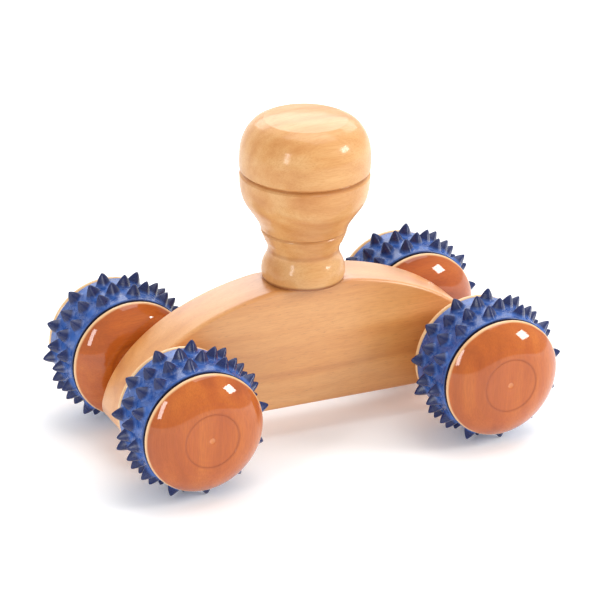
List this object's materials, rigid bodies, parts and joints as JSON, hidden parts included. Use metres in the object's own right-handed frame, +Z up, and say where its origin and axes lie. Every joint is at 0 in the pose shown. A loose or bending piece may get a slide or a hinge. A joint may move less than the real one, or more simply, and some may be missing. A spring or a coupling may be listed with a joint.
{
  "type": "wooden roller massager",
  "caption": "Arched wooden hand massager with a turned knob grip, rolling on independent wooden wheels that carry spiked rubber rings.",
  "frame": {"origin": "on the floor, under the middle of the body", "axes": "+X along the body towards the front wheels, +Y to the left along the axles, +Z up through the knob"},
  "size_m": [0.1462, 0.0908, 0.1031],
  "materials": {
    "body_wood": "satin",
    "knob_wood": "satin",
    "wheel_wood": "gloss",
    "blue_rubber": "satin",
    "nylon": "matt",
    "steel": "bright"
  },
  "bodies": {
    "frame": {"body": "body_wood", "knob": "knob_wood", "knob_dowel": "knob_wood", "axle_front": "steel", "axle_rear": "steel", "spacer_front_right": "nylon", "washer_front_right": "steel", "retaining_cap_front_right": "steel", "spacer_front_left": "nylon", "washer_front_left": "steel", "retaining_cap_front_left": "steel", "spacer_rear_right": "nylon", "washer_rear_right": "steel", "retaining_cap_rear_right": "steel", "spacer_rear_left": "nylon", "washer_rear_left": "steel", "retaining_cap_rear_left": "steel"},
    "wheel_front_right": {"hub_front_right": "wheel_wood", "spiked_ring_front_right": "blue_rubber", "plug_front_right": "wheel_wood"},
    "wheel_front_left": {"hub_front_left": "wheel_wood", "spiked_ring_front_left": "blue_rubber", "plug_front_left": "wheel_wood"},
    "wheel_rear_right": {"hub_rear_right": "wheel_wood", "spiked_ring_rear_right": "blue_rubber", "plug_rear_right": "wheel_wood"},
    "wheel_rear_left": {"hub_rear_left": "wheel_wood", "spiked_ring_rear_left": "blue_rubber", "plug_rear_left": "wheel_wood"}
  },
  "joints": [
    {"name": "wheel_front_right_roll", "type": "hinge", "parent": "frame", "child": "wheel_front_right", "pos_m": [0.05, -0.0285, 0.02309], "axis": [0, 1, 0], "continuous": true},
    {"name": "wheel_front_left_roll", "type": "hinge", "parent": "frame", "child": "wheel_front_left", "pos_m": [0.05, 0.0285, 0.02309], "axis": [0, 1, 0], "continuous": true},
    {"name": "wheel_rear_right_roll", "type": "hinge", "parent": "frame", "child": "wheel_rear_right", "pos_m": [-0.05, -0.0285, 0.02309], "axis": [0, 1, 0], "continuous": true},
    {"name": "wheel_rear_left_roll", "type": "hinge", "parent": "frame", "child": "wheel_rear_left", "pos_m": [-0.05, 0.0285, 0.02309], "axis": [0, 1, 0], "continuous": true}
  ]
}
